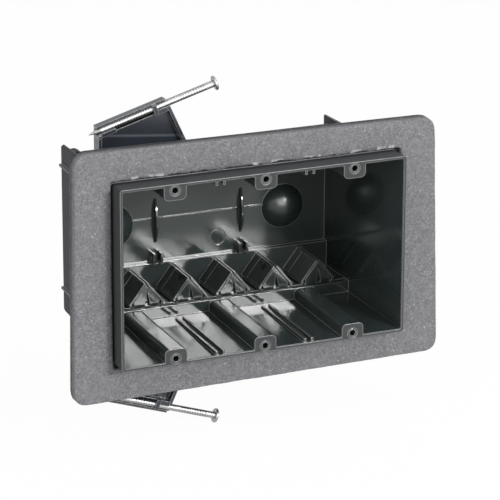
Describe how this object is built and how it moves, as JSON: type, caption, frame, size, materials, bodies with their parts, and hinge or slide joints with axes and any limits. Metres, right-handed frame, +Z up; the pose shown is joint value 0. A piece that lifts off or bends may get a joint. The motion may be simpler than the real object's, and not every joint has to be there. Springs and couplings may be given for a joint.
{
  "type": "electrical wall box",
  "caption": "Moulded plastic wall box for wiring devices, with a gasketed vapour flange, clamp flaps for cables and angled nails in side brackets.",
  "frame": {"origin": "centre of the device screw grid, on the plane of the front rim", "axes": "+X to the right seen from the front, +Y into the wall, +Z up"},
  "size_m": [0.1902, 0.0875, 0.1754],
  "materials": {
    "box_body": "black moulded plastic, glossy inside and satin outside",
    "flange_gasket": "grey closed-cell foam",
    "nails": "bright zinc plated"
  },
  "bodies": {
    "root": {"box_body": "box_body", "flange_gasket": "flange_gasket", "nail_upper": "nails", "nail_lower": "nails"}
  },
  "joints": []
}
